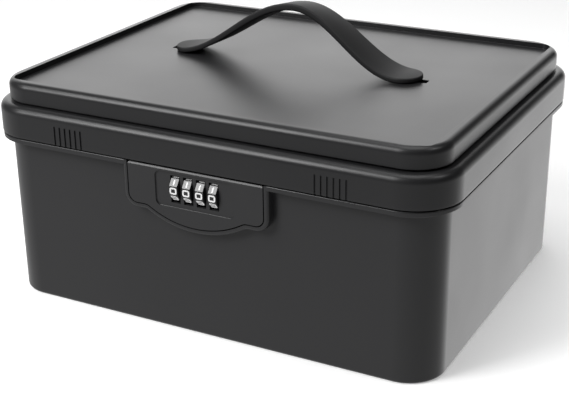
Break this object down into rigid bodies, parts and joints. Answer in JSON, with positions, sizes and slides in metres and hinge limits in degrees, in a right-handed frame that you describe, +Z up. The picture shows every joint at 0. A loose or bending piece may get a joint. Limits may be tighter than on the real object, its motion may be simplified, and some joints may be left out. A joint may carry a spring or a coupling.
{
  "type": "medication lock box",
  "caption": "Rectangular lockable medicine box with a hinged two-piece lid, a strap handle and a latch flap with number dials.",
  "frame": {"origin": "middle of the flat underside of the tub, under the middle of the lid", "axes": "+Z up, +X along the long side towards the right of the lock, +Y towards the rear hinges"},
  "size_m": [0.3, 0.2483, 0.1777],
  "materials": {
    "tub_plastic": "fine satin",
    "lid_plastic": "fine satin",
    "strap_rubber": "smooth matte",
    "wheel_plastic": "gloss black with white figures",
    "inner_plastic": "matte",
    "steel": "plain steel"
  },
  "bodies": {
    "tub": {"base_tub": "tub_plastic", "hinge_pin_left": "steel", "hinge_pin_right": "steel", "keeper_comb": "steel", "keeper_screw_left": "steel", "keeper_screw_right": "steel"},
    "lid": {"lid_frame": "lid_plastic", "lid_cover": "lid_plastic", "cover_screw_1": "steel", "cover_screw_2": "steel", "cover_screw_3": "steel", "cover_screw_4": "steel", "handle_strap": "strap_rubber", "latch_pin_left": "steel", "latch_pin_right": "steel"},
    "strap_end_left": {"strap_slider_left": "inner_plastic", "strap_screw_left": "steel"},
    "strap_end_right": {"strap_slider_right": "inner_plastic", "strap_screw_right": "steel"},
    "flap": {"latch_flap": "tub_plastic", "lock_carrier": "inner_plastic", "carrier_screw_left": "steel", "carrier_screw_right": "steel", "detent_spring": "steel", "reset_spring": "steel"},
    "reset": {"dial_shaft": "steel", "reset_slider": "inner_plastic"},
    "dial_1": {"dial_wheel_1": "wheel_plastic"},
    "sleeve_1": {"gate_sleeve_1": "steel"},
    "dial_2": {"dial_wheel_2": "wheel_plastic"},
    "sleeve_2": {"gate_sleeve_2": "steel"},
    "dial_3": {"dial_wheel_3": "wheel_plastic"},
    "sleeve_3": {"gate_sleeve_3": "steel"},
    "dial_4": {"dial_wheel_4": "wheel_plastic"},
    "sleeve_4": {"gate_sleeve_4": "steel"}
  },
  "joints": [
    {"name": "lid_hinge", "type": "hinge", "parent": "tub", "child": "lid", "pos_m": [0, 0.1236, 0.1068], "axis": [-1, 0, 0], "range_deg": [0, 105]},
    {"name": "strap_left_slide", "type": "slide", "parent": "lid", "child": "strap_end_left", "axis": [-1, 0, 0], "range_m": [0, 0.0095], "deforming": ["handle_strap"]},
    {"name": "strap_right_slide", "type": "slide", "parent": "lid", "child": "strap_end_right", "axis": [1, 0, 0], "range_m": [0, 0.0095], "deforming": ["handle_strap"]},
    {"name": "flap_hinge", "type": "hinge", "parent": "lid", "child": "flap", "pos_m": [0, -0.1158, 0.1033], "axis": [-1, 0, 0], "range_deg": [0, 90]},
    {"name": "reset_slide", "type": "slide", "parent": "flap", "child": "reset", "axis": [-1, 0, 0], "range_m": [0, 0.0016], "stiffness_N_per_m": 150, "springref_m": -0.002, "deforming": ["reset_spring"]},
    {"name": "dial_1_turn", "type": "hinge", "parent": "flap", "child": "dial_1", "pos_m": [-0.01275, -0.113, 0.0935], "axis": [1, 0, 0], "continuous": true},
    {"name": "dial_2_turn", "type": "hinge", "parent": "flap", "child": "dial_2", "pos_m": [-0.00425, -0.113, 0.0935], "axis": [1, 0, 0], "continuous": true},
    {"name": "dial_3_turn", "type": "hinge", "parent": "flap", "child": "dial_3", "pos_m": [0.00425, -0.113, 0.0935], "axis": [1, 0, 0], "continuous": true},
    {"name": "dial_4_turn", "type": "hinge", "parent": "flap", "child": "dial_4", "pos_m": [0.01275, -0.113, 0.0935], "axis": [1, 0, 0], "continuous": true},
    {"name": "sleeve_1_turn", "type": "hinge", "parent": "reset", "child": "sleeve_1", "pos_m": [-0.01275, -0.113, 0.0935], "axis": [1, 0, 0], "continuous": true},
    {"name": "sleeve_2_turn", "type": "hinge", "parent": "reset", "child": "sleeve_2", "pos_m": [-0.00425, -0.113, 0.0935], "axis": [1, 0, 0], "continuous": true},
    {"name": "sleeve_3_turn", "type": "hinge", "parent": "reset", "child": "sleeve_3", "pos_m": [0.00425, -0.113, 0.0935], "axis": [1, 0, 0], "continuous": true},
    {"name": "sleeve_4_turn", "type": "hinge", "parent": "reset", "child": "sleeve_4", "pos_m": [0.01275, -0.113, 0.0935], "axis": [1, 0, 0], "continuous": true}
  ],
  "couplings": [
    {"joint": "strap_right_slide", "follows": "strap_left_slide", "ratio": 1},
    {"joint": "sleeve_1_turn", "follows": "dial_1_turn", "ratio": 1},
    {"joint": "sleeve_2_turn", "follows": "dial_2_turn", "ratio": 1},
    {"joint": "sleeve_3_turn", "follows": "dial_3_turn", "ratio": 1},
    {"joint": "sleeve_4_turn", "follows": "dial_4_turn", "ratio": 1}
  ]
}
